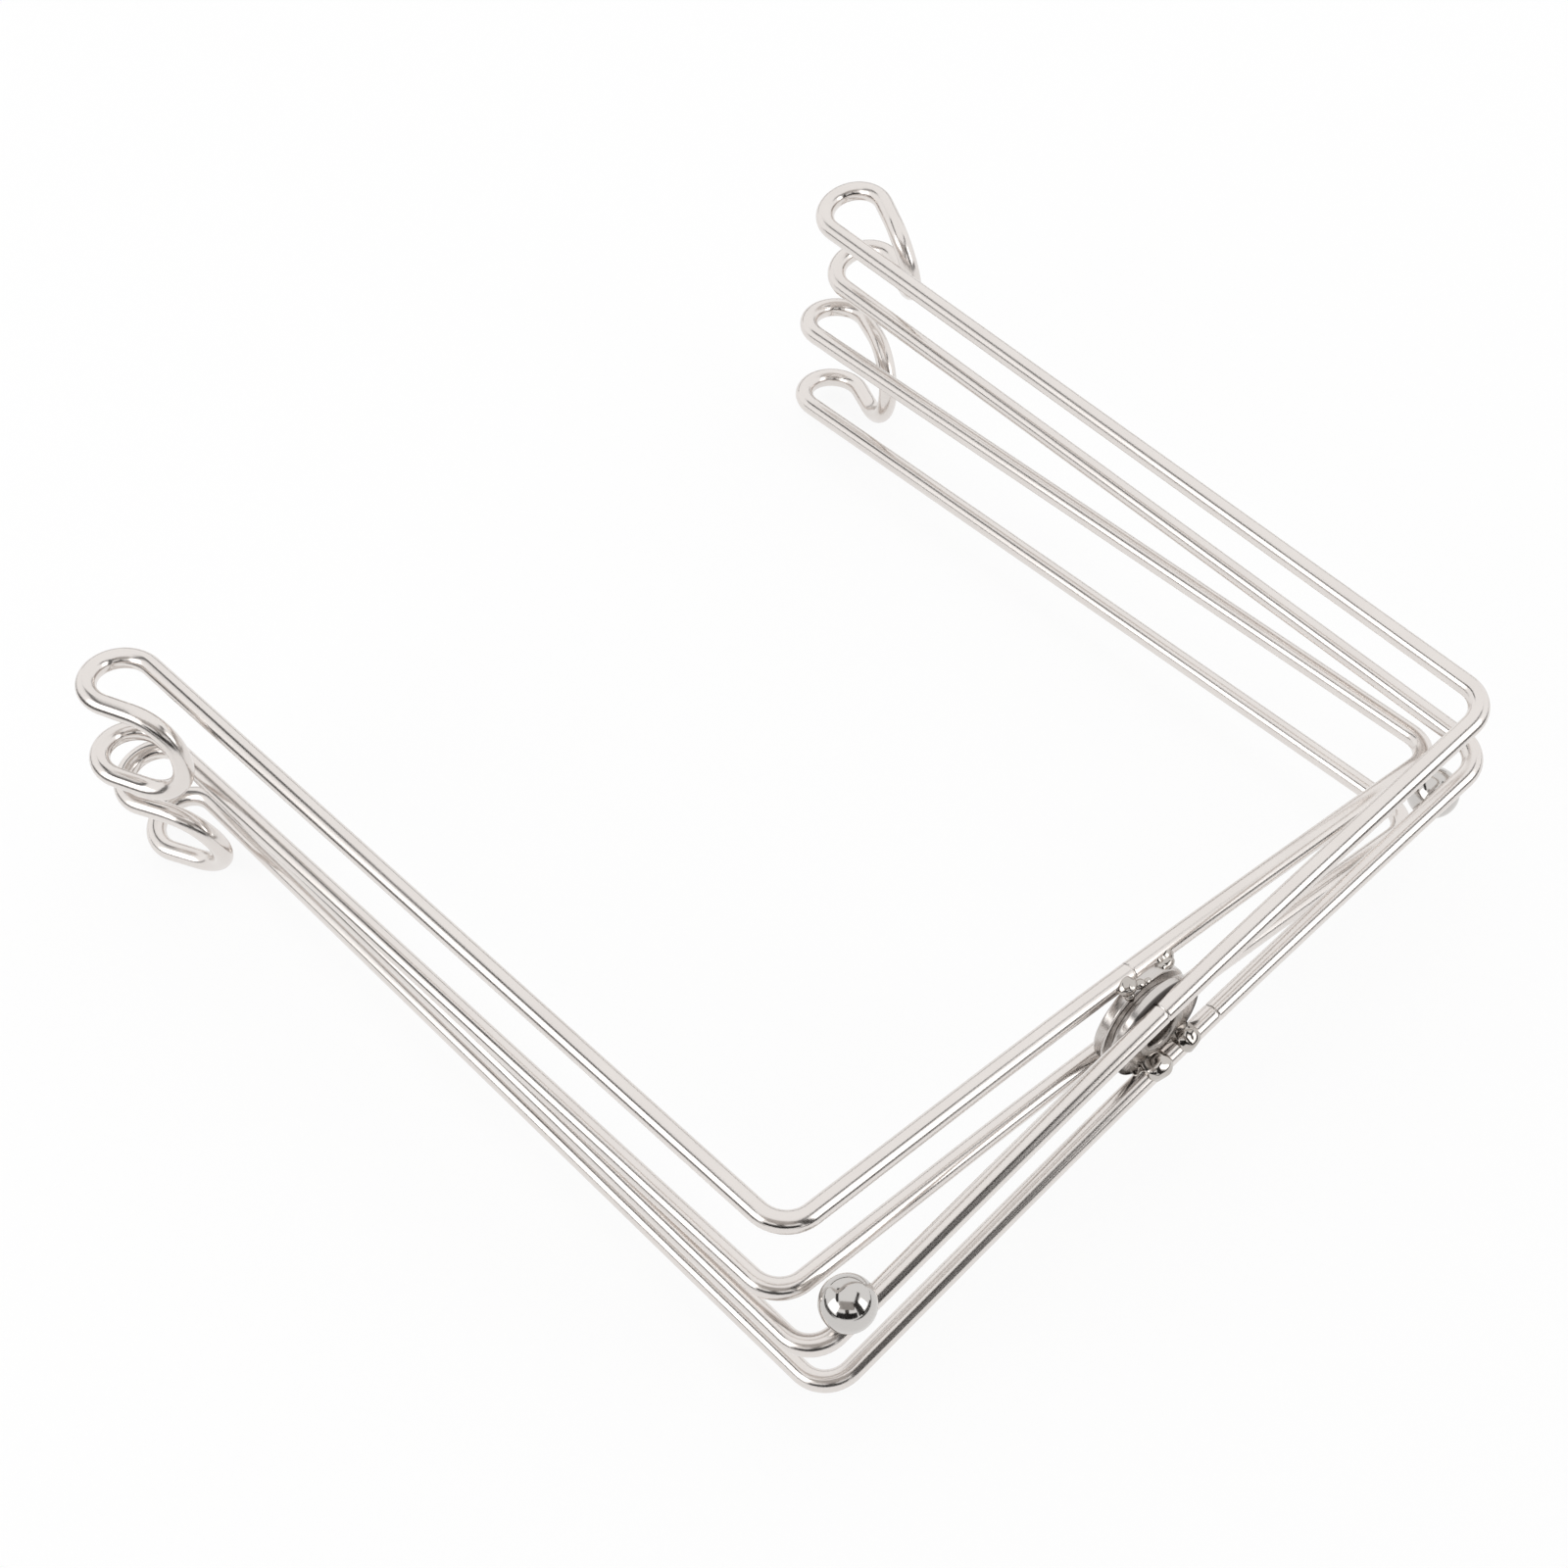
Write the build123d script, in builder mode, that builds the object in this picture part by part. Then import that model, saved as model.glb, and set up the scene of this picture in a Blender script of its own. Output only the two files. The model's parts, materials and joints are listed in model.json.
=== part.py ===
from build123d import *
import math
import os

os.makedirs("parts", exist_ok=True)

# Folding bag holder stand of bent and welded round stainless wire, in millimetres.
# Two wire frames cross at one riveted pivot behind the bag. Each frame is a single closed
# loop of wire: two back wires, one above the other, two pairs of arms and a curl at each
# pair's end. The stand is modelled folded, as it lies on a bench.
# X runs along the back from left to right, Y from the back to the curls, Z up.
# The origin is on the bench, under the middle of the folded stand's outline.

# Driving sizes: the wire and the two frames
wire_diameter = 4.0
rear_back_length = 169.0       # between the centre lines of the rear frame's arms
front_back_length = 172.0      # between the centre lines of the front frame's arms
rear_arm_length = 178.0        # back wire's ends to the far side of the curl, centre lines
front_arm_length = 187.0
rear_wire_spacing = 19.7       # upper wire to lower wire, centre to centre
front_wire_spacing = 18.1
corner_radius = 6.2            # centre line of each bend between back and arm
back_bow = 1.2                 # how far each back wire curves in at its middle
rear_arm_splay = 0.6           # degrees that each arm opens outward
front_arm_splay = 1.0
rear_arm_lean = 1.7            # degrees that the rear frame's arms lean to the left
rear_right_droop = 1.1         # degrees that the rear frame's right arms sink toward their curl
frame_gap = 5.3                # clear space between the two frames at the pivot

# Driving sizes: the curls
curl_radius = 6.6              # centre line of the turn at the end of each arm
curl_over_turn = 24.0          # degrees that the turn goes on past a half turn
curl_return_length = 6.0       # straight wire between the turn and the upright bend

# Driving sizes: the pivot
pivot_ring_diameter = 21.0
pivot_ring_thickness = 2.4
pivot_ring_edge = 0.5          # rounding of the rings' edges
spacer_diameter = 16.0
eyelet_diameter = 9.0          # shank of the hollow rivet
eyelet_bore = 7.0
eyelet_flange_diameter = 10.8
eyelet_flange_thickness = 0.8
running_clearance = 0.08       # around the shank and beside the turning ring

# Driving sizes: the stop balls and the welds
ball_diameter = 10.0
front_ball_from_arm = 10.0      # along the back wire, from the arm's centre line
rear_ball_from_arm = 7.2
rear_ball_from_front_arm = 8.7  # the front frame's arm passes the rear ball this far away
front_ball_sink = 0.3          # how far each ball is melted into its wire
rear_ball_sink = 1.4
ring_sink = 0.4                # how far each ring is melted into its wires
rear_bead_diameter = 3.8
rear_bead_forward = 2.9        # from the wire's centre line toward the front, and up
rear_bead_lift = 0.8
front_bead_diameter = 5.0
front_bead_back = 0.7          # from the wire's centre line toward the back, and up
front_bead_lift = 0.9
rear_bead_places = (-2.6, 6.4)     # along the back wire, from the pivot
front_bead_places = (-1.4, 5.9)

# Driving sizes: the folded rest
folded_angle = 16.6            # degrees between the two frames when folded
rest_clearance = 0.3           # between the rear frame's ball and the wire that rests on it

# Worked-out sizes
wire_radius = wire_diameter / 2
ball_radius = ball_diameter / 2
rear_half_back = rear_back_length / 2
front_half_back = front_back_length / 2
rear_half_spacing = rear_wire_spacing / 2
front_half_spacing = front_wire_spacing / 2
frame_offset = frame_gap / 2 + wire_radius      # from the pivot's middle to the back wires
stack_half = frame_gap / 2 + ring_sink          # from the pivot's middle to a ring's outer face

crossing = math.radians(folded_angle)
# The folded angle is shared so that the lowest curl of each frame stands on the bench.
rear_curl_reach = rear_half_back + 2 * curl_radius
front_curl_reach = front_half_back + 2 * curl_radius
rear_curl_drop = rear_arm_length * math.sin(math.radians(rear_right_droop))
level_across = rear_curl_reach + front_curl_reach * math.cos(crossing) - front_half_spacing * math.sin(crossing)
level_down = front_curl_reach * math.sin(crossing) + front_half_spacing * math.cos(crossing) - rear_half_spacing
rear_tilt = math.atan2(level_down, level_across) - math.asin(
    rear_curl_drop / math.hypot(level_across, level_down))
front_tilt = crossing - rear_tilt
pivot_point = Vector(0, 0, 0)      # the whole stand is moved to its place at the end

# One plane for each frame, halfway between its upper and lower wires: x along the back,
# y along the arms. The rear frame is low on the right, the front frame low on the left.
rear_plane = Plane(
    origin=pivot_point + Vector(0, frame_offset, 0),
    x_dir=(math.cos(rear_tilt), 0, -math.sin(rear_tilt)),
    z_dir=(math.sin(rear_tilt), 0, math.cos(rear_tilt)),
)
front_plane = Plane(
    origin=pivot_point - Vector(0, frame_offset, 0),
    x_dir=(math.cos(front_tilt), 0, math.sin(front_tilt)),
    z_dir=(-math.sin(front_tilt), 0, math.cos(front_tilt)),
)
bow_rise = back_bow * 4 / 3        # from the corners to where the back wire's ends would meet


def wire_line(half_back, place):
    """How far back a back wire's straight end is at a place along it."""
    return bow_rise * (half_back - abs(place)) / half_back - back_bow


def rounded(before, corner, after, radius):
    """Start, middle and end of the arc that rounds a corner between two straight runs."""
    first = (before - corner).normalized()
    second = (after - corner).normalized()
    half_angle = math.acos(first.dot(second)) / 2
    inward = (first + second).normalized() * (radius / math.sin(half_angle) - radius)
    reach = radius / math.tan(half_angle)
    return corner + first * reach, corner + inward, corner + second * reach


def arm_plane(plane, side, half_back, turn, droop):
    """Plane of one pair of arms: x points outward, y runs along the arms to the curls.

    Its origin is on the back wires' corner line, halfway between the two arms. turn and
    droop are in degrees: turn is positive to the right, droop downward.
    """
    sideways = math.sin(math.radians(turn))
    along = (plane.y_dir + plane.x_dir * sideways - plane.z_dir * math.sin(math.radians(droop))).normalized()
    across = (plane.x_dir * side).cross(along).normalized()
    corner = plane.from_local_coords((side * half_back, -back_bow, 0))
    return Plane(origin=corner, x_dir=along.cross(across), z_dir=across)


def wire_frame(plane, half_back, half_spacing, arm_length, left_turn, right_turn, right_droop=0.0):
    """One closed loop of wire, made of an upper run with both end bends and a lower run."""
    over = math.radians(curl_over_turn)
    turn_start = arm_length - curl_radius
    left_plane = arm_plane(plane, -1, half_back, left_turn, 0.0)
    right_plane = arm_plane(plane, 1, half_back, right_turn, right_droop)

    def arm_point(side, across, along, level):
        arms = left_plane if side < 0 else right_plane
        return arms.from_local_coords((across, along, side * level))

    def turn_point(side, angle, level):
        across = curl_radius - curl_radius * math.cos(angle)
        return arm_point(side, across, turn_start + curl_radius * math.sin(angle), level)

    def return_point(side, reach, level):
        across = curl_radius + curl_radius * math.cos(over) - reach * math.sin(over)
        along = turn_start - curl_radius * math.sin(over) - reach * math.cos(over)
        return arm_point(side, across, along, level)

    def draw_run(level):
        ends = []
        for side in (-1, 1):
            arm_end = turn_point(side, 0, level)
            turn_middle = turn_point(side, (math.pi + over) / 2, level)
            turn_end = turn_point(side, math.pi + over, level)
            ThreePointArc(turn_end, turn_middle, arm_end)
            Line(return_point(side, curl_return_length, level), turn_end)
            ends.append(arm_end)
        left_corner = arm_point(-1, 0, 0, level)
        right_corner = arm_point(1, 0, 0, level)
        peak = plane.from_local_coords((0, bow_rise - back_bow, level))
        left_bend = rounded(ends[0], left_corner, peak, corner_radius)
        bow = rounded(left_corner, peak, right_corner, half_back**2 / (2 * bow_rise))
        right_bend = rounded(peak, right_corner, ends[1], corner_radius)
        Line(ends[0], left_bend[0])
        ThreePointArc(*left_bend)
        Line(left_bend[2], bow[0])
        ThreePointArc(*bow)
        Line(bow[2], right_bend[0])
        ThreePointArc(*right_bend)
        Line(right_bend[2], ends[1])

    with BuildPart() as loop:
        with BuildLine() as upper_run:
            draw_run(half_spacing)
            for side in (-1, 1):
                ThreePointArc(
                    return_point(side, curl_return_length, half_spacing),
                    return_point(side, curl_return_length + half_spacing, 0),
                    return_point(side, curl_return_length, -half_spacing))
        with BuildLine() as lower_run:
            draw_run(-half_spacing)
        for run in (upper_run.wire(), lower_run.wire()):
            with BuildSketch(Plane(origin=run @ 0, z_dir=run % 0)):
                Circle(wire_radius)
            sweep(path=run)
    return loop


def pivot_ring(outer_face, inward):
    """A flat ring round the pivot. outer_face is its place along Y, inward is -1 or 1."""
    face_plane = Plane(
        origin=pivot_point + Vector(0, outer_face, 0), x_dir=(1, 0, 0), z_dir=(0, inward, 0))
    with BuildPart() as ring:
        with BuildSketch(face_plane):
            Circle(pivot_ring_diameter / 2)
        extrude(amount=pivot_ring_thickness)
        fillet(ring.edges(), radius=pivot_ring_edge)
        with BuildSketch(face_plane):
            Circle(eyelet_diameter / 2 + running_clearance)
        extrude(amount=pivot_ring_thickness, mode=Mode.SUBTRACT)
    return ring


def weld_bead(centre, diameter, frame, ring):
    """The weld metal that stands out of a frame's wire and its ring around one point."""
    with BuildPart() as bead:
        with Locations(centre):
            Sphere(diameter / 2)
        add(frame.part, mode=Mode.SUBTRACT)
        add(ring.part, mode=Mode.SUBTRACT)
    return bead.solids().sort_by(SortBy.VOLUME)[-1]


# Frames
rear_loop = wire_frame(
    rear_plane, rear_half_back, rear_half_spacing, rear_arm_length,
    -rear_arm_splay - rear_arm_lean, rear_arm_splay - rear_arm_lean, rear_right_droop)
front_loop = wire_frame(
    front_plane, front_half_back, front_half_spacing, front_arm_length,
    -front_arm_splay, front_arm_splay)
with BuildPart() as rear_frame:
    add(rear_loop.part)
with BuildPart() as front_frame:
    add(front_loop.part)

# Pivot rings, each melted into the two back wires that it touches
rear_ring_body = pivot_ring(stack_half, -1)
with BuildPart() as rear_pivot_ring:
    add(rear_ring_body.part)
    add(rear_frame.part, mode=Mode.SUBTRACT)
front_ring_body = pivot_ring(-stack_half, 1)
with BuildPart() as front_pivot_ring:
    add(front_ring_body.part)
    add(front_frame.part, mode=Mode.SUBTRACT)

# Spacer between the rings
spacer_length = 2 * (stack_half - pivot_ring_thickness) - running_clearance
with BuildPart() as pivot_spacer:
    with BuildSketch(Plane(
            origin=pivot_point + Vector(0, stack_half - pivot_ring_thickness, 0),
            x_dir=(1, 0, 0), z_dir=(0, -1, 0))):
        Circle(spacer_diameter / 2)
        Circle(eyelet_diameter / 2, mode=Mode.SUBTRACT)
    extrude(amount=spacer_length)

# Hollow rivet: a tube with a rolled flange over each ring
shank_start = -stack_half - running_clearance
with BuildPart() as pivot_eyelet:
    with BuildSketch(Plane(origin=pivot_point, x_dir=(1, 0, 0), z_dir=(0, 0, 1))) as eyelet_section:
        with BuildLine():
            Polyline(
                (eyelet_bore / 2, shank_start - eyelet_flange_thickness),
                (eyelet_flange_diameter / 2, shank_start - eyelet_flange_thickness),
                (eyelet_flange_diameter / 2, shank_start),
                (eyelet_diameter / 2, shank_start),
                (eyelet_diameter / 2, stack_half),
                (eyelet_flange_diameter / 2, stack_half),
                (eyelet_flange_diameter / 2, stack_half + eyelet_flange_thickness),
                (eyelet_bore / 2, stack_half + eyelet_flange_thickness),
                close=True,
            )
        make_face()
        mouths = eyelet_section.vertices().group_by(Axis.X)[0]
        rims = eyelet_section.vertices().group_by(Axis.X)[-1]
        fillet(mouths, radius=(eyelet_diameter - eyelet_bore) * 0.4)
        fillet(rims, radius=eyelet_flange_thickness * 0.4)
    revolve(axis=Axis(pivot_point, (0, 1, 0)))

# Weld beads between each ring and its wire
rear_beads = [
    weld_bead(rear_plane.from_local_coords((place, -rear_bead_forward, rear_half_spacing + rear_bead_lift)),
              rear_bead_diameter, rear_frame, rear_pivot_ring)
    for place in rear_bead_places]
with BuildPart() as rear_welds:
    add(rear_beads)
front_beads = [
    weld_bead(front_plane.from_local_coords((place, front_bead_back, front_bead_lift - front_half_spacing)),
              front_bead_diameter, front_frame, front_pivot_ring)
    for place in front_bead_places]
with BuildPart() as front_welds:
    add(front_beads)

# Front frame's ball, on top of the upper back wire near the left corner
front_ball_place = -front_half_back + front_ball_from_arm
with BuildPart() as front_ball:
    with Locations(front_plane.location * Pos(
            front_ball_place,
            wire_line(front_half_back, front_ball_place),
            front_half_spacing + wire_radius + ball_radius - front_ball_sink)):
        Sphere(ball_radius)
    add(front_frame.part, mode=Mode.SUBTRACT)

# Rear frame's ball, on the front and lower side of the upper back wire near the right corner.
# It stands where the front frame's lower back wire comes to rest on it when folded.
rear_ball_place = min(rear_half_back - rear_ball_from_arm, front_half_back - rear_ball_from_front_arm)
held = rear_plane.from_local_coords(
    (rear_ball_place, wire_line(rear_half_back, rear_ball_place), rear_half_spacing))
resting_place = (held.X - front_half_spacing * math.sin(front_tilt)) / math.cos(front_tilt)
resting = front_plane.from_local_coords(
    (resting_place, wire_line(front_half_back, resting_place), -front_half_spacing))
held_distance = wire_radius + ball_radius - rear_ball_sink
resting_distance = wire_radius + ball_radius + rest_clearance
across_y = resting.Y - held.Y
across_z = resting.Z - held.Z
wires_apart = math.hypot(across_y, across_z)
along_line = (held_distance**2 - resting_distance**2 + wires_apart**2) / (2 * wires_apart)
below_line = math.sqrt(held_distance**2 - along_line**2)
rear_ball_y = held.Y + (along_line * across_y + below_line * across_z * math.copysign(1, across_y)) / wires_apart
rear_ball_z = held.Z + (along_line * across_z - below_line * abs(across_y)) / wires_apart
with BuildPart() as rear_ball:
    with Locations((held.X, rear_ball_y, rear_ball_z)):
        Sphere(ball_radius)
    add(rear_frame.part, mode=Mode.SUBTRACT)

# The stand is moved so that the middle of its outline is over the origin, on the bench.
parts = {
    "rear_frame": rear_frame,
    "front_frame": front_frame,
    "rear_pivot_ring": rear_pivot_ring,
    "front_pivot_ring": front_pivot_ring,
    "pivot_spacer": pivot_spacer,
    "pivot_eyelet": pivot_eyelet,
    "rear_welds": rear_welds,
    "front_welds": front_welds,
    "front_ball": front_ball,
    "rear_ball": rear_ball,
}
boxes = [built.part.bounding_box() for built in parts.values()]
place = Vector(
    -(min(box.min.X for box in boxes) + max(box.max.X for box in boxes)) / 2,
    -(min(box.min.Y for box in boxes) + max(box.max.Y for box in boxes)) / 2,
    -min(box.min.Z for box in boxes))
print("pivot", round(place.X, 3), round(place.Y, 3), round(place.Z, 3))

# Colours, labels and files
steel = Color(0.72, 0.71, 0.70)
for name, built in parts.items():
    built.part = built.part.moved(Location(place))
    built.part.label = name
    built.part.color = steel
    export_step(built.part, f"parts/{name}.step")
    print(name, round(built.part.volume, 1), len(built.part.solids()), built.part.is_valid)
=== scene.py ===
# %% [markdown]
# # A folding bag holder stand of stainless wire
# The stand is two closed loops of round wire that cross at one riveted pivot. This lesson
# rebuilds each loop, ring, rivet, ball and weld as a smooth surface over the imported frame,
# gives the steel its finish, and lights it like a small object on a white table.

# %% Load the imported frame
import json
import math

import bpy
import numpy as np
from mathutils import Matrix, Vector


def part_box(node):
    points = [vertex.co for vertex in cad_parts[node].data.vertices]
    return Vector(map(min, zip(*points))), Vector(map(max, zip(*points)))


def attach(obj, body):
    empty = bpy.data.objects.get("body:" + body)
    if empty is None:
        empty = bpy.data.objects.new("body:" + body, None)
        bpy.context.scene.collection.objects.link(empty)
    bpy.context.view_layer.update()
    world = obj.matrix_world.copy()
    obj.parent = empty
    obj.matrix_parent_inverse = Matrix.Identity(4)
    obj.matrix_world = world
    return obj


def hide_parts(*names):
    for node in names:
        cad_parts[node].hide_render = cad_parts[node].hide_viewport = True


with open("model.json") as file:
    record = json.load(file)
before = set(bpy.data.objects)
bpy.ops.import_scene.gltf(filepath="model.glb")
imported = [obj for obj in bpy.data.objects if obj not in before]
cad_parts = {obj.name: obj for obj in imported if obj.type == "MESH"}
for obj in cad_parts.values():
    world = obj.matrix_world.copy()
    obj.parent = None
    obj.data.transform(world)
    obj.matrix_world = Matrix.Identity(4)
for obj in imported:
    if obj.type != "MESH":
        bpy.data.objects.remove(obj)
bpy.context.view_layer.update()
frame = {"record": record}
MM = 0.001
PIVOT = np.array(frame["record"]["behaviour"]["joints"][0]["pos_m"])

# %% [markdown]
# ## Sizes
# The real stand is bent from 4 mm wire on a few simple jigs, so a handful of sizes gives
# the whole of it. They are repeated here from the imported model, in metres, because a
# surface that is worked out again from the sizes is smoother than the model's triangles.

# %% Sizes
WIRE_R = 2.0 * MM
CORNER_R = 6.2 * MM
BACK_BOW = 1.2 * MM
CURL_R = 6.6 * MM
CURL_OVER = math.radians(24.0)
CURL_RETURN = 6.0 * MM
FRAME_GAP = 5.3 * MM
FOLDED = math.radians(16.6)
REAR = {"half_back": 84.5 * MM, "half_spacing": 9.85 * MM, "arm": 178.0 * MM,
        "turns": (-2.3, -1.1), "droops": (0.0, 1.1)}
FRONT = {"half_back": 86.0 * MM, "half_spacing": 9.05 * MM, "arm": 187.0 * MM,
         "turns": (-1.0, 1.0), "droops": (0.0, 0.0)}
RING_SINK = 0.4 * MM
STACK_HALF = FRAME_GAP / 2 + RING_SINK
BALL_R = 5.0 * MM


def tilts():
    """The two frames' tilts: the folded angle, shared so that both lowest curls touch the bench."""
    reach_1 = REAR["half_back"] + 2 * CURL_R
    reach_2 = FRONT["half_back"] + 2 * CURL_R
    h_1, h_2 = REAR["half_spacing"], FRONT["half_spacing"]
    drop = REAR["arm"] * math.sin(math.radians(REAR["droops"][1]))
    across = reach_1 + reach_2 * math.cos(FOLDED) - h_2 * math.sin(FOLDED)
    down = reach_2 * math.sin(FOLDED) + h_2 * math.cos(FOLDED) - h_1
    first = math.atan2(down, across) - math.asin(drop / math.hypot(across, down))
    return first, FOLDED - first


REAR_TILT, FRONT_TILT = tilts()
Y_AXIS = np.array([0.0, 1.0, 0.0])
for spec, tilt, side in ((REAR, REAR_TILT, 1), (FRONT, -FRONT_TILT, -1)):
    spec["x"] = np.array([math.cos(tilt), 0.0, -math.sin(tilt)])
    spec["z"] = np.array([math.sin(tilt), 0.0, math.cos(tilt)])
    spec["origin"] = PIVOT + Y_AXIS * side * (FRAME_GAP / 2 + WIRE_R)
print("tilts in degrees", math.degrees(REAR_TILT), math.degrees(FRONT_TILT))


# %% [markdown]
# ## The centre line of a loop
# A wire bender thinks in straight runs and bends of a set radius. Each run here is a line
# or an arc given as a few numbers, sampled as a whole array, and joined end to end: curl,
# arm, back, arm, curl, then the upright bend down to the lower run and back again.

# %% Centre line
def unit(v):
    """A vector, or each row of an array of vectors, divided by its length."""
    return v / np.linalg.norm(v, axis=-1, keepdims=True)


def line(a, b):
    """Points from a to b about 1 mm apart, without b."""
    count = max(2, int(np.linalg.norm(b - a) / MM))
    return a + np.outer(np.arange(count) / count, b - a)


def rounded(before, corner, after, radius):
    """The arc that rounds a corner: centre + cos(angle) * out + sin(angle) * along."""
    first, second = unit(before - corner), unit(after - corner)
    half = math.acos(first @ second) / 2
    bisector = unit(first + second)
    centre = corner + bisector * radius / math.sin(half)
    along = unit(second - first)
    span = math.pi / 2 - half
    angle = np.linspace(-span, span, 25)[:, None]
    return centre + radius * (np.sin(angle) * along - np.cos(angle) * bisector)


def place(spec, x, y, z):
    """A point of a frame's own plane, in the row frame."""
    return spec["origin"] + spec["x"] * x + Y_AXIS * y + spec["z"] * z


def arm_axes(spec, side):
    """Corner point, outward, along and normal directions of one pair of arms."""
    index = 0 if side < 0 else 1
    turn, droop = (math.radians(spec[key][index]) for key in ("turns", "droops"))
    along = unit(Y_AXIS + spec["x"] * math.sin(turn) - spec["z"] * math.sin(droop))
    normal = unit(np.cross(spec["x"] * side, along))
    corner = place(spec, side * spec["half_back"], -BACK_BOW, 0)
    return corner, np.cross(along, normal), along, normal * side


def arm_run(spec, side, level):
    """Corner and the points from the arm's end round the turn to the end of the return."""
    corner, out, along, normal = arm_axes(spec, side)
    base = corner + normal * level
    angle = np.linspace(0, math.pi + CURL_OVER, 49)[:, None]
    start = base + along * (spec["arm"] - CURL_R)
    turn = start + out * CURL_R * (1 - np.cos(angle)) + along * CURL_R * np.sin(angle)
    heading = -out * math.sin(CURL_OVER) - along * math.cos(CURL_OVER)
    end = turn[-1] + heading * CURL_RETURN
    return base, turn, end, heading, normal


def wire_loop(spec):
    """The closed centre line of one frame and, for each point, the direction that its section's
    zero angle faces: the arms' normal, carried round the upright bends."""
    half_spacing, half_back = spec["half_spacing"], spec["half_back"]
    rise = BACK_BOW * 4 / 3
    runs = []
    for level in (half_spacing, -half_spacing):
        left, right = arm_run(spec, -1, level), arm_run(spec, 1, level)
        peak = place(spec, 0, rise - BACK_BOW, level)
        bend_l = rounded(left[1][0], left[0], peak, CORNER_R)
        bow = rounded(left[0], peak, right[0], half_back ** 2 / (2 * rise))
        bend_r = rounded(peak, right[0], right[1][0], CORNER_R)
        points = np.vstack([
            line(left[2], left[1][-1]), left[1][::-1][:-1],
            line(left[1][0], bend_l[0]), bend_l[:-1],
            line(bend_l[-1], bow[0]), bow[:-1],
            line(bow[-1], bend_r[0]), bend_r[:-1],
            line(bend_r[-1], right[1][0]), right[1][:-1],
            line(right[1][-1], right[2])])
        runs.append(points if level > 0 else np.vstack([points[1:], right[2]])[::-1])
    bends = []
    for side in (1, -1):
        _, _, end, heading, normal = arm_run(spec, side, half_spacing * side)
        angle = np.linspace(0, math.pi, 41)[:-1, None]
        out = np.sin(angle) * heading + np.cos(angle) * normal * side
        bends.append((end - normal * half_spacing * side + half_spacing * out, out))
    up = spec["z"]
    points = np.vstack([runs[0], bends[0][0], runs[1], bends[1][0]])
    faces = np.vstack([np.tile(up, (len(runs[0]), 1)), bends[0][1],
                       np.tile(-up, (len(runs[1]), 1)), bends[1][1]])
    return points, faces



def even(points, faces, step):
    """The same closed line resampled at an even step along its length."""
    closed = np.vstack([points, points[:1]])
    length = np.concatenate([[0], np.cumsum(np.linalg.norm(np.diff(closed, axis=0), axis=1))])
    s = np.linspace(0, length[-1], int(length[-1] / step), endpoint=False)
    turned = np.vstack([faces, faces[:1]])
    pick = [np.stack([np.interp(s, length, rows[:, i]) for i in range(3)], 1)
            for rows in (closed, turned)]
    return pick[0], pick[1], s


for title, spec in (("rear", REAR), ("front", FRONT)):
    loop, _ = wire_loop(spec)
    print(title, "wire in metres",
          round(float(np.linalg.norm(loop - np.roll(loop, 1, 0), axis=1).sum()), 3))


# %% [markdown]
# ## From a centre line to wire
# Wire is one circle carried along a line. The section's plane is square to the line, and its
# zero angle follows the directions kept above, so the surface never twists. Where the two
# ends of the real wire meet, a butt weld leaves a fine groove, made by a dip in the radius.

# %% Wire surface
def new_piece(name, vertices, faces):
    """A smooth mesh object at the origin, linked to the scene."""
    mesh = bpy.data.meshes.new(name)
    mesh.from_pydata(vertices.tolist(), [], faces)
    mesh.polygons.foreach_set("use_smooth", np.ones(len(mesh.polygons), bool))
    mesh.update()
    piece = bpy.data.objects.new(name, mesh)
    bpy.context.scene.collection.objects.link(piece)
    print(name, sum(len(face) - 2 for face in faces), "triangles")
    return piece


def grid_mesh(name, points):
    """A closed mesh over a grid of points: rows run along u, columns round v, faces outward."""
    rows, cols = points.shape[:2]
    u, v = (a.ravel() for a in np.meshgrid(np.arange(rows), np.arange(cols), indexing="ij"))
    u_next, v_next = (u + 1) % rows, (v + 1) % cols
    quads = np.stack([u * cols + v, u_next * cols + v,
                      u_next * cols + v_next, u * cols + v_next], 1)
    return new_piece(name, points.reshape(-1, 3), quads.tolist())


def dress(piece, node, body):
    """Puts a piece in the place of a CAD node, on its body."""
    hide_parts(node)
    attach(piece, body)


WIRE_SIDES = 32


def carried_circle(line_points, faces, radius):
    """Surface(u, v) = line(u) + radius(u) * (cos v * facing(u) + sin v * side(u))."""
    tangent = unit(np.roll(line_points, -1, 0) - np.roll(line_points, 1, 0))
    facing = unit(faces - (faces * tangent).sum(1, keepdims=True) * tangent)
    sideways = np.cross(tangent, facing)
    v = np.linspace(0, 2 * math.pi, WIRE_SIDES, endpoint=False)[None, :, None]
    ring = np.cos(v) * facing[:, None] + np.sin(v) * sideways[:, None]
    return line_points[:, None] + radius[:, None, None] * ring


STEP = 0.8 * MM
SEAM_DEPTH = 0.16 * MM
SEAM_WIDTH = 0.3 * MM
SEAM_REACH = 1.2 * MM  # half the length with finer steps
SEAM_LINE = 0.16 * MM  # half the width of the dark line
SEAM_TINT = 0.9
SEAM_SHOWS = np.array([0.0, 0.6, 0.8])  # upward and back, where the line was left
SEAM_FADE = 16
# Places of the butt joints along the back, from the pivot, on the upper or lower wire
SEAMS = {"rear": ((-2.2 * MM, 1),), "front": ((-0.5 * MM, 1), (12.0 * MM, -1))}


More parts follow.
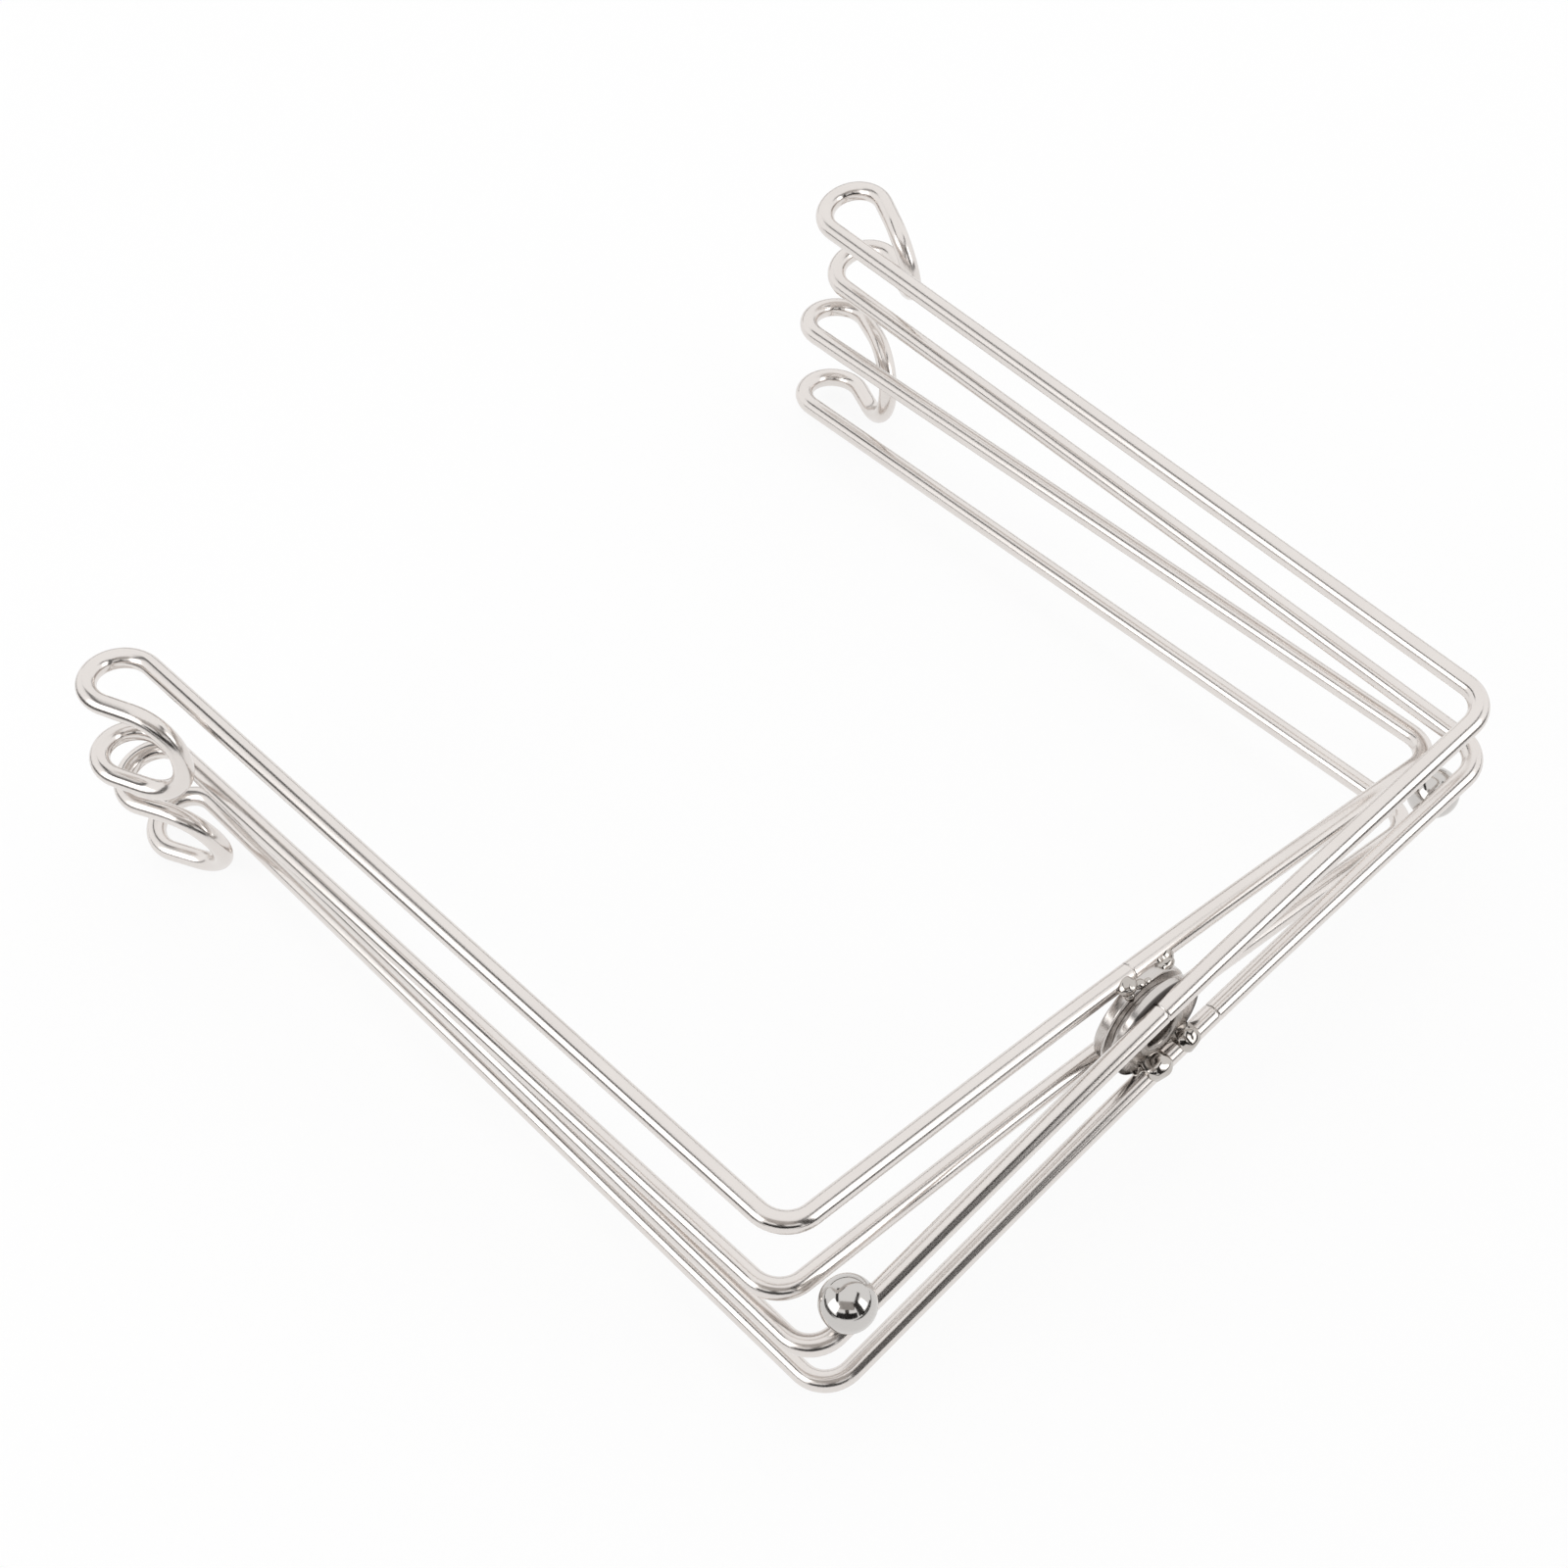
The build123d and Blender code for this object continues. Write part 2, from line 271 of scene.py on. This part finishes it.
def keep_along(piece, lengths):
    """Stores, for each vertex, (length along the wire, radius * cos v, radius * sin v) in metres,
    so that a finish can follow the wire round its bends without a seam."""
    v = np.linspace(0, 2 * math.pi, WIRE_SIDES, endpoint=False)
    rows = np.empty((len(lengths), WIRE_SIDES, 3))
    rows[..., 0] = lengths[:, None]
    rows[..., 1] = WIRE_R * np.cos(v)
    rows[..., 2] = WIRE_R * np.sin(v)
    layer = piece.data.attributes.new("along_wire", "FLOAT_VECTOR", "POINT")
    layer.data.foreach_set("vector", rows.ravel())


def keep_joint_line_and_shade(piece, amount):
    """Stores how dark each vertex is painted, from 0 to 1: the butt joints' dark line, and the
    painted shade on the front ring's outer edge.
    """
    layer = piece.data.attributes.new("joint_line_and_painted_shade", "FLOAT", "POINT")
    layer.data.foreach_set("value", amount.ravel())


def make_wire(name, spec, key):
    """One loop of wire, with the fine groove of each butt joint and its thin dark line."""
    points, faces, s = even(*wire_loop(spec), STEP)
    radius = np.full(len(s), WIRE_R)
    tint = np.zeros(len(s))
    for along, side in SEAMS[key]:
        joint = place(spec, along, 0, side * spec["half_spacing"])
        at = s[np.argmin(np.linalg.norm(points - joint, axis=1))]
        fine = at + np.linspace(-1, 1, 25) * SEAM_REACH
        keep = np.abs(s - at) > SEAM_REACH + 0.05 * MM
        order = np.argsort(np.concatenate([s[keep], fine]))
        merged = []
        for rows in (points, faces):
            extra = np.stack([np.interp(fine, s, rows[:, i]) for i in range(3)], 1)
            merged.append(np.vstack([rows[keep], extra])[order])
        points, faces = merged
        dip = SEAM_DEPTH * np.exp(-((fine - at) / (SEAM_WIDTH / 2)) ** 2)
        radius = np.concatenate([radius[keep], WIRE_R - dip])[order]
        line_tint = SEAM_TINT * np.exp(-((fine - at) / SEAM_LINE) ** 2)
        tint = np.concatenate([tint[keep], line_tint])[order]
        s = np.concatenate([s[keep], fine])[order]
    surface = carried_circle(points, faces, radius)
    piece = grid_mesh(name, surface)
    keep_along(piece, s)
    # the line was ground away except on the upper back side
    showing = np.clip(unit(surface - points[:, None]) @ SEAM_SHOWS, 0, 1) ** SEAM_FADE
    keep_joint_line_and_shade(piece, tint[:, None] * showing)
    return piece


rear_wire = make_wire("rear_wire", REAR, "rear")
front_wire = make_wire("front_wire", FRONT, "front")
dress(rear_wire, "rear_frame", "rear")
dress(front_wire, "front_frame", "front")


# %% [markdown]
# ## Rings, spacer and rivet
# These are turned or pressed round the pivot, so each is a small outline spun about the
# pivot's axis. The outline's corners are rounded first, because a real edge is never sharp
# and it is the rounding that catches the light.

# %% Turned pieces
def outline(corners, radii, steps=6):
    """A closed outline with rounded corners, one arc for each corner."""
    corners = np.array(corners, float)
    before, after = np.roll(corners, 1, 0), np.roll(corners, -1, 0)
    arcs = []
    for b, c, a, r in zip(before, corners, after, radii):
        first, second = unit(b - c), unit(a - c)
        t = np.linspace(0, 1, steps)[:, None]
        start, end = c + first * r, c + second * r
        arcs.append((1 - t) ** 2 * start + 2 * t * (1 - t) * c + t ** 2 * end)
    # rows close beside each arc keep the flat faces flat in smooth shading
    steps_across = [0.04, 0.2, 0.35, 0.5, 0.65, 0.8, 0.96]
    rows = []
    for arc, following in zip(arcs, arcs[1:] + arcs[:1]):
        rows.append(arc)
        gap = following[0] - arc[-1]
        rows.append(arc[-1] + np.outer(steps_across, gap))
    return np.vstack(rows)


def spun(name, corners, radii, around=96):
    """Surface(u, v) = pivot + radius(v) * (cos u * X + sin u * Z) + depth(v) * Y."""
    profile = outline(corners, radii) * MM
    angle = np.linspace(0, 2 * math.pi, around, endpoint=False)[:, None]
    radius, depth = profile[None, :, 0], profile[None, :, 1]
    points = np.stack([radius * np.cos(angle), depth + 0 * angle, radius * np.sin(angle)], -1)
    return grid_mesh(name, points + PIVOT)


# Ring, spacer and rivet sizes in mm, as radii and depths from the pivot
RING_R, RING_T, BORE_R = 10.5, 2.4, 4.58
SPACER_R, SPACER_BORE = 8.0, 4.5
FLANGE_T, FLANGE_R, SHANK_R, EYE_R = 0.8, 5.4, 4.5, 3.5
RUNNING_GAP = 0.08
STACK = STACK_HALF / MM
RING_EDGES = (0.2, 0.2, 0.5, 0.5)
rear_ring = spun("rear_pivot_washer", (
    (BORE_R, STACK), (BORE_R, STACK - RING_T), (RING_R, STACK - RING_T), (RING_R, STACK)),
    RING_EDGES)
front_ring = spun("front_pivot_washer", (
    (BORE_R, RING_T - STACK), (BORE_R, -STACK), (RING_R, -STACK), (RING_R, RING_T - STACK)),
    RING_EDGES)
spacer = spun("spacer_washer", (
    (SPACER_BORE, STACK - RING_T), (SPACER_BORE, RING_T - STACK + RUNNING_GAP),
    (SPACER_R, RING_T - STACK + RUNNING_GAP), (SPACER_R, STACK - RING_T)),
    (0.1, 0.1, 0.15, 0.15))
FRONT_FACE = -STACK - RUNNING_GAP
# Painted shade: a dark band on the front ring's outer edge, beside the wire, stands in for the
# shade in the gap between ring and wire
SHADE_BAND, SHADE_FADE, SHADE_DEPTH = 0.95, 0.2, 0.92
co = np.empty(len(front_ring.data.vertices) * 3)
front_ring.data.vertices.foreach_get("co", co)
co = (co.reshape(-1, 3) - PIVOT) / MM
outer = np.hypot(co[:, 0], co[:, 2]) > RING_R - 0.75
keep_joint_line_and_shade(front_ring,
          SHADE_DEPTH * outer * np.clip((SHADE_BAND - STACK - co[:, 1]) / SHADE_FADE, 0, 1))
eyelet = spun("hollow_rivet", (
    (EYE_R, STACK + FLANGE_T), (EYE_R, FRONT_FACE - FLANGE_T), (FLANGE_R, FRONT_FACE - FLANGE_T),
    (FLANGE_R, FRONT_FACE), (SHANK_R, FRONT_FACE), (SHANK_R, STACK), (FLANGE_R, STACK),
    (FLANGE_R, STACK + FLANGE_T)),
    (0.75, 0.75, 0.3, 0.3, 0.05, 0.05, 0.3, 0.3))
dress(rear_ring, "rear_pivot_ring", "rear")
dress(front_ring, "front_pivot_ring", "front")
dress(spacer, "pivot_spacer", "rear")
dress(eyelet, "pivot_eyelet", "rear")


# %% [markdown]
# ## Stop balls
# Each ball is a bearing ball, polished bright and resistance welded to its wire. A ball is a
# grid of latitude and longitude; a small collar of squeezed-out metal is blended in where it
# sits on the wire, by drawing the nearest points out toward the weld.

# %% Stop balls
def lump(centre, radius, shape, rows=48, cols=64):
    """Surface(u, v) = centre + radius * shape(direction) * direction(u, v), closed at the poles."""
    u = np.linspace(0, math.pi, rows)[:, None]
    v = np.linspace(0, 2 * math.pi, cols, endpoint=False)[None]
    direction = np.stack([np.sin(u) * np.cos(v), np.sin(u) * np.sin(v), np.cos(u) + 0 * v], -1)
    flat = (np.array(centre) + radius * shape(direction)[..., None] * direction).reshape(-1, 3)
    vertices = np.vstack([flat[:1], flat[cols:-cols], flat[-1:]])
    ring = np.arange(cols)
    following = (ring + 1) % cols
    level = 1 + np.arange(rows - 3)[:, None] * cols
    quads = np.stack([level + ring, level + cols + ring,
                      level + cols + following, level + following], -1)
    last = len(vertices) - 1
    top = np.stack([np.zeros(cols, int), 1 + ring, 1 + following], 1)
    bottom = np.stack([np.full(cols, last), last - cols + following, last - cols + ring], 1)
    return vertices, quads.reshape(-1, 4), np.vstack([top, bottom])


def lumps_piece(name, lumps):
    """One smooth mesh from several closed lumps, stacked as whole arrays."""
    starts = np.cumsum([0] + [len(vertices) for vertices, _, _ in lumps[:-1]])
    quads = np.vstack([q + start for (_, q, _), start in zip(lumps, starts)])
    caps = np.vstack([c + start for (_, _, c), start in zip(lumps, starts)])
    return new_piece(name, np.vstack([vertices for vertices, _, _ in lumps]),
                     quads.tolist() + caps.tolist())


COLLAR_RISE, COLLAR_ANGLE, COLLAR_WIDTH = 0.1, 0.25, 0.3


def ball_shape(toward):
    """1, with a collar: 1 + height * exp(-((angle to the weld - its own) / width) squared)."""
    def shape(direction):
        angle = np.arccos(np.clip(direction @ unit(toward), -1, 1))
        return 1 + COLLAR_RISE * np.exp(-((angle - COLLAR_ANGLE) / COLLAR_WIDTH) ** 2)
    return shape


def wire_y(spec, x):
    """How far back a back wire's straight end lies at x: a straight line from corner to peak."""
    return BACK_BOW * 4 / 3 * (spec["half_back"] - abs(x)) / spec["half_back"] - BACK_BOW


BALL_SINK = 0.3 * MM
FRONT_BALL_IN, REAR_BALL_IN = 10.0 * MM, 7.2 * MM
front_x = -FRONT["half_back"] + FRONT_BALL_IN
front_seat = place(FRONT, front_x, wire_y(FRONT, front_x), FRONT["half_spacing"])
front_centre = front_seat + FRONT["z"] * (WIRE_R + BALL_R - BALL_SINK)
rear_x = REAR["half_back"] - REAR_BALL_IN
rear_seat = place(REAR, rear_x, wire_y(REAR, rear_x), REAR["half_spacing"])
low, _ = (np.array(corner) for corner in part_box("rear_ball"))
rear_centre = np.array([rear_seat[0], low[1] + BALL_R, low[2] + BALL_R])
front_stop = lumps_piece("front_stop_ball", [
    lump(front_centre, BALL_R, ball_shape(front_seat - front_centre))])
rear_stop = lumps_piece("rear_stop_ball", [
    lump(rear_centre, BALL_R, ball_shape(rear_seat - rear_centre))])
print("rear ball", rear_centre - PIVOT, "front ball", front_centre - PIVOT)
dress(front_stop, "front_ball", "front")
dress(rear_stop, "rear_ball", "rear")


# %% [markdown]
# ## Weld beads
# The rings are welded by hand to the back wires with a bright filler, and no two beads froze
# alike. Each is a ball stretched along the joint, with a few rounded swellings where the metal
# ran toward the ring or the wire, and slow ripples. Small splashes lie beside the larger ones.

# %% Weld beads
RIPPLE = 0.06


def bead_shape(stretch, swellings, seed):
    """length(direction * stretch) * (1 + sum of height * exp(-(angle / width) squared) over the
    swellings + three slow waves), with angle squared taken as 2 - 2 cos(angle)."""
    chance = np.random.default_rng(seed)
    axes = unit(chance.normal(size=(3, 3)))
    phases = chance.uniform(0, 6.28, 3)

    def shape(direction):
        ripple = sum(np.sin(4.0 * (i + 1) * (direction @ a) + p) / (i + 2)
                     for i, (a, p) in enumerate(zip(axes, phases)))
        swell = sum(height * np.exp(-(2 - 2 * direction @ unit(np.array(way, float)))
                                    / width ** 2) for way, height, width in swellings)
        return np.linalg.norm(direction * stretch, axis=-1) * (1 + RIPPLE * ripple + swell)
    return shape


def beads(name, spec, lumps):
    """Each lump: place along, back and up in mm in the frame's plane, radius, stretch and
    swellings."""
    return lumps_piece(name, [lump(place(spec, *(np.array(at) * MM)), radius * MM,
                                   bead_shape(stretch, swellings, i + len(name)), 28, 36)
                              for i, (at, radius, stretch, swellings) in enumerate(lumps)])


REAR_H, FRONT_H = REAR["half_spacing"] / MM, FRONT["half_spacing"] / MM
rear_beads = beads("rear_weld_beads", REAR, (
    ((-4.6, -2.2, REAR_H + 0.3), 1.7, (1.15, 0.95, 0.95), (((0, 0.8, 0.4), 0.25, 0.8),)),
    ((-2.4, -3.1, REAR_H + 0.3), 0.95, (1.2, 1, 0.9), (((-1, 0.3, 0), 0.2, 0.6),)),
    ((-5.0, -3.4, REAR_H - 1.0), 1.0, (0.9, 0.9, 1.2), (((0.5, 0.2, 1), 0.2, 0.7),)),
    ((-0.9, -3.5, REAR_H + 0.35), 0.6, (1.3, 1, 0.9), ()),
    ((5.2, -0.9, REAR_H - 0.4), 1.7, (1.7, 1.0, 1.0),
     (((0.0, -0.85, -0.5), 0.35, 0.6),)),
    ((4.6, -2.4, REAR_H - 0.7), 1.25, (1.6, 1.1, 1.0), (((0.9, -0.2, 0.0), 0.25, 0.6),))))
front_beads = beads("front_weld_beads", FRONT, (
    ((-2.9, -0.1, 0.8 - FRONT_H), 2.75, (1.12, 1, 0.95),
     (((0.2, 0.8, 0.4), 0.12, 0.6), ((-0.7, -0.5, 0.3), 0.1, 0.45), ((0.6, -0.6, 0.6), 0.1, 0.35),
      ((-0.2, -0.9, -0.3), -0.12, 0.4))),
    ((-5.9, 1.0, 1.0 - FRONT_H), 1.3, (1.2, 1, 0.9), (((1, -0.5, 0), 0.2, 0.6),)),
    ((-4.2, 2.6, 0.7 - FRONT_H), 1.25, (1.1, 1.1, 1), (((1, -0.5, 0.3), 0.3, 0.5),)),
    ((4.8, -0.1, 0.8 - FRONT_H), 2.65, (1, 1, 1),
     (((-0.5, 0.8, 0.5), 0.15, 0.6), ((0.5, -0.3, 0.8), 0.1, 0.4), ((-0.8, -0.5, 0.1), 0.1, 0.4),
      ((0.2, -0.95, -0.2), -0.12, 0.4))),
    ((2.6, 1.9, 0.9 - FRONT_H), 1.3, (1.1, 1.2, 0.9), (((0.7, -0.7, 0), 0.3, 0.6),)),
    ((0.9, 2.4, 0.3 - FRONT_H), 0.95, (1.4, 1, 0.9), ())))
dress(rear_beads, "rear_welds", "rear")
dress(front_beads, "front_welds", "front")


# %% [markdown]
# ## Steel finishes
# All of the stand is austenitic stainless steel. The wire is cold drawn and electropolished:
# bright, a little warm, with faint streaks left by the die. The turned rings are satin, the
# rivet is duller from pressing and its darker colour is painted shade, and the balls and weld
# beads are nearly mirror bright. Metal takes its look from what it mirrors, so colour varies
# little and roughness does the work.

# %% Materials
def linear(hex_colour):
    """An sRGB hex colour as linear red, green, blue and alpha 1."""
    srgb = np.array([int(hex_colour[i:i + 2], 16) for i in (1, 3, 5)]) / 255
    rgb = np.where(srgb <= 0.04045, srgb / 12.92, ((srgb + 0.055) / 1.055) ** 2.4)
    return (*rgb.tolist(), 1.0)


def add_node(tree, kind, values=None, links=None, **settings):
    """One node, with its settings, its socket values and its incoming links."""
    node = tree.nodes.new(kind)
    for key, value in settings.items():
        setattr(node, key, value)
    for key, value in (values or {}).items():
        node.inputs[key].default_value = value
    for key, source in (links or {}).items():
        tree.links.new(source, node.inputs[key])
    return node


# Dark brown of the butt joints' dark lines and of the painted shade on the front ring's outer edge
JOINT_AND_SHADE_BROWN = "#2b2623"


def steel(name, light, dark, rough, fine, bump, along=None):
    """Stainless steel whose colour drifts slowly and whose shine and relief follow a fine grain.
    fine is the size of the grain in mm, one number for each axis of the pattern."""
    material = bpy.data.materials.new(name)
    material.use_nodes = True
    tree = material.node_tree
    tree.nodes.clear()
    if along:
        where = add_node(tree, "ShaderNodeAttribute", attribute_name=along).outputs["Vector"]
    else:
        where = add_node(tree, "ShaderNodeTexCoord").outputs["Object"]
    stretch = add_node(tree, "ShaderNodeMapping", {"Scale": [1 / (size * MM) for size in fine]},
                       {"Vector": where})
    grain = add_node(tree, "ShaderNodeTexNoise", {"Scale": 1.0, "Detail": 1.5, "Roughness": 0.5},
                     {"Vector": stretch.outputs["Vector"]})
    drift = add_node(tree, "ShaderNodeTexNoise", {"Scale": 1 / (14 * MM), "Detail": 2.0},
                     {"Vector": where})
    colour = add_node(tree, "ShaderNodeMix", {6: linear(dark), 7: linear(light)},
                      {0: drift.outputs["Fac"]}, data_type="RGBA")
    shine = add_node(tree, "ShaderNodeMapRange",
                     {"From Min": 0.3, "From Max": 0.7,
                      "To Min": rough * 0.75, "To Max": rough * 1.3},
                     {"Value": grain.outputs["Fac"]})
    relief = add_node(tree, "ShaderNodeBump", {"Strength": bump, "Distance": 0.02 * MM},
                      {"Height": grain.outputs["Fac"]})
    # A stored amount mixes in dark brown: the butt joints' dark lines, and painted shade on the
    # front ring's outer edge
    joint_line_and_shade = add_node(tree, "ShaderNodeAttribute", attribute_name="joint_line_and_painted_shade")
    tinted = add_node(tree, "ShaderNodeMix", {7: linear(JOINT_AND_SHADE_BROWN)},
                      {0: joint_line_and_shade.outputs["Fac"], 6: colour.outputs[2]}, data_type="RGBA")
    surface = add_node(tree, "ShaderNodeBsdfPrincipled", {"Metallic": 1.0},
                       {"Base Color": tinted.outputs[2], "Roughness": shine.outputs["Result"],
                        "Normal": relief.outputs["Normal"]})
    add_node(tree, "ShaderNodeOutputMaterial", links={"Surface": surface.outputs[0]})
    return material


# Cold drawn and electropolished wire, bright with a soft edge to its reflections. The die
# leaves streaks about 0.3 mm wide and 60 mm long that run with the wire.
drawn_wire = steel("cold_drawn_stainless_wire", "#e6e1dd", "#ddd7d3", 0.2,
                   (60, 0.35, 0.35), 0.012, "along_wire")
# Turned rings look satin. Real tool marks are finer, so these rings are 0.15 mm apart to show.
turned_steel = steel("turned_stainless", "#d8d4d1", "#c4bfbb", 0.22, (2.0, 0.15, 2.0), 0.12)
# Bearing balls are ground and polished, so they mirror the room, with the faintest drift
ball_steel = steel("polished_stainless_ball", "#cfccc9", "#c6c3c0", 0.11, (1.5, 1.5, 1.5), 0.03)
# A pressed rivet is duller, with a grain of about half a millimetre. Its darker colour is painted
# shade, for the shaded front of the pivot.
shaded_rivet_steel = steel("pressed_rivet_metal_with_painted_shade", "#b4aea9", "#8f8984", 0.3, (0.5, 0.5, 0.5), 0.2)
# Weld metal freezes bright, with shallow dimples just under a millimetre wide
weld_metal = steel("bright_weld_metal", "#cdc8c3", "#a9a39d", 0.11, (0.8, 0.8, 0.8), 0.35)
finishes = {drawn_wire: (rear_wire, front_wire), turned_steel: (rear_ring, front_ring, spacer),
            shaded_rivet_steel: (eyelet,), ball_steel: (front_stop, rear_stop),
            weld_metal: (rear_beads, front_beads)}
for material, dressed in finishes.items():
    for piece in dressed:
        piece.data.materials.append(material)
    print(material.name, "on", [piece.name for piece in dressed])

# %% [markdown]
# ## Table and cards
# A product photographer lays bright steel on white and stands dark cards out of view: without
# something dark to mirror, polished wire has no edges. The table looks white to the camera
# and to reflections, by a Light Path node, and still takes the stand's own shadow.

# %% Table and cards
def plane_piece(name, centre, half_x, half_y, colour):
    """A flat card: four corners round a centre, half_x and half_y being vectors."""
    centre, half_x, half_y = (np.array(v, float) for v in (centre, half_x, half_y))
    corners = [centre - half_x - half_y, centre + half_x - half_y,
               centre + half_x + half_y, centre - half_x + half_y]
    mesh = bpy.data.meshes.new(name)
    mesh.from_pydata([c.tolist() for c in corners], [], [(0, 1, 2, 3)])
    piece = bpy.data.objects.new(name, mesh)
    bpy.context.scene.collection.objects.link(piece)
    material = bpy.data.materials.new(name + "_surface")
    material.use_nodes = True
    shader = material.node_tree.nodes["Principled BSDF"]
    shader.inputs["Base Color"].default_value = linear(colour)
    shader.inputs["Roughness"].default_value = 0.9
    piece.data.materials.append(material)
    return piece, material


TABLE_GLOW = 0.88  # how much of the table's look is plain white rather than lit surface
table_top, table_material = plane_piece("table_top", (0, 0, -0.0005), (6, 0, 0), (0, 6, 0),
                                        "#fdfdfd")
tree = table_material.node_tree
path = add_node(tree, "ShaderNodeLightPath")
seen = add_node(tree, "ShaderNodeMath", None,
                {0: path.outputs["Is Camera Ray"], 1: path.outputs["Is Glossy Ray"]},
                operation="MAXIMUM")
white = add_node(tree, "ShaderNodeEmission", {"Color": (1, 1, 1, 1), "Strength": 1.0})
amount = add_node(tree, "ShaderNodeMath", {1: TABLE_GLOW}, {0: seen.outputs[0]},
                  operation="MULTIPLY")
mix = add_node(tree, "ShaderNodeMixShader", None,
               {0: amount.outputs[0], 1: tree.nodes["Principled BSDF"].outputs[0],
                2: white.outputs[0]})
tree.links.new(mix.outputs[0], tree.nodes["Material Output"].inputs["Surface"])


def toward(azimuth, elevation, distance):
    """A point round the stand: azimuth and elevation in degrees, distance in metres."""
    a, e = math.radians(azimuth), math.radians(elevation)
    return distance * np.array([math.cos(e) * math.cos(a), math.cos(e) * math.sin(a), math.sin(e)])


def facing_axes(position):
    """Rightward, upward and backward directions of something that looks at the stand."""
    back = unit(position)
    right = unit(np.cross([0, 0, 1.0], back))
    return right, np.cross(back, right), back


def card(name, azimuth, elevation, distance, width, height, colour):
    """A card that faces the stand and shows only as a reflection."""
    position = toward(azimuth, elevation, distance)
    right, up, _ = facing_axes(position)
    made, _ = plane_piece(name, position, right * width / 2, up * height / 2, colour)
    made.visible_camera = False


DARK, DARKER = "#322f2d", "#262423"
# name, azimuth, elevation, distance, width, height, colour
CARDS = (
    ("card_over_right_box", -58, 54, 0.85, 0.6, 0.15, DARK),
    ("card_over_left_box", 132, 53, 0.85, 0.8, 0.16, DARKER),
    ("card_beside_right_box", -88.5, 27, 0.85, 0.31, 0.75, DARK),
    ("card_below_camera", -135, 13, 0.9, 1.15, 0.34, "#1c1a19"),
    ("card_round_camera", -135, 27, 0.92, 0.2, 0.26, "#3a3430"),
    ("card_behind_camera", -138, 50, 0.97, 1.0, 0.5, "#b8b3af"),
    ("card_low_right", -66, 3, 0.8, 0.7, 0.085, DARK),
    ("card_low_left", 165, 3, 0.8, 1.1, 0.085, DARK),
    ("card_far_horizon", 50, 3, 1.3, 2.2, 0.16, "#8c8885"))
for row in CARDS:
    card(*row)
# Two mats on the table darken what the lower side of the wires mirrors
MAT = "#43403e"
mat_right, _ = plane_piece("mat_right", (0.17, -0.42, 0.0005),
                           (0.3, 0.09, 0), (-0.07, 0.19, 0), MAT)
mat_left, _ = plane_piece("mat_left", (-0.43, 0.2, 0.0005),
                          (0.22, -0.09, 0), (0.11, 0.26, 0), MAT)
for mat in (mat_right, mat_left):
    mat.visible_camera = mat.visible_shadow = mat.visible_diffuse = False
print(len(CARDS), "cards and 2 mats, seen only as reflections")

# %% [markdown]
# ## Light
# Two soft boxes stand low, one on each side, and draw the long white line along each wire. The
# white room around them does the rest, so the steel looks right under other light too.

# %% Lights
world = bpy.data.worlds.new("studio")
bpy.context.scene.world = world
world.use_nodes = True
room = world.node_tree.nodes["Background"]
room.inputs["Color"].default_value = linear("#ffffff")
room.inputs["Strength"].default_value = 1.04


def placed(turn, position):
    """A 4 by 4 matrix from three axes and a position."""
    return Matrix(np.vstack([np.column_stack([turn, position]), [0, 0, 0, 1]]).tolist())


def soft_box(name, azimuth, elevation, distance, width, height, brightness):
    """A rectangular area lamp that faces the stand: watts = brightness * pi * area."""
    lamp = bpy.data.lights.new(name, "AREA")
    lamp.shape = "RECTANGLE"
    lamp.size, lamp.size_y = width, height
    lamp.energy = brightness * math.pi * width * height
    holder = bpy.data.objects.new(name, lamp)
    position = toward(azimuth, elevation, distance)
    axes = facing_axes(position)
    holder.matrix_world = placed(np.column_stack(axes), position)
    bpy.context.scene.collection.objects.link(holder)
    print(name, round(lamp.energy, 2), "watts")


LAMP_BRIGHTNESS = 1.6
soft_box("soft_box_right", -66, 27, 0.85, 0.33, 0.5, LAMP_BRIGHTNESS)
soft_box("soft_box_left", 170, 27, 0.85, 0.57, 0.5, LAMP_BRIGHTNESS)

# %% [markdown]
# ## Camera
# The photograph was taken from the front left, looking down at about 52 degrees. The camera's
# place, turn and lens were fitted to where the wires lie in it.

# %% Camera
CAMERA_AT = (-0.20668, -0.2398, 0.41826)
CAMERA_TURN = np.array([[0.741214, 0.542039, -0.395973],
                        [-0.670459, 0.568834, -0.476353],
                        [-0.032959, 0.618564, 0.785043]])
camera = bpy.data.cameras.new("camera")
camera.sensor_width = 36.0
camera.lens = 59.778
camera.clip_start = 0.01
eye = bpy.data.objects.new("camera", camera)
eye.matrix_world = placed(CAMERA_TURN, CAMERA_AT)
bpy.context.scene.collection.objects.link(eye)
bpy.context.scene.camera = eye
bpy.context.scene.view_settings.view_transform = "Standard"
print("camera", round(float(np.linalg.norm(CAMERA_AT)), 3), "m from the stand's middle")
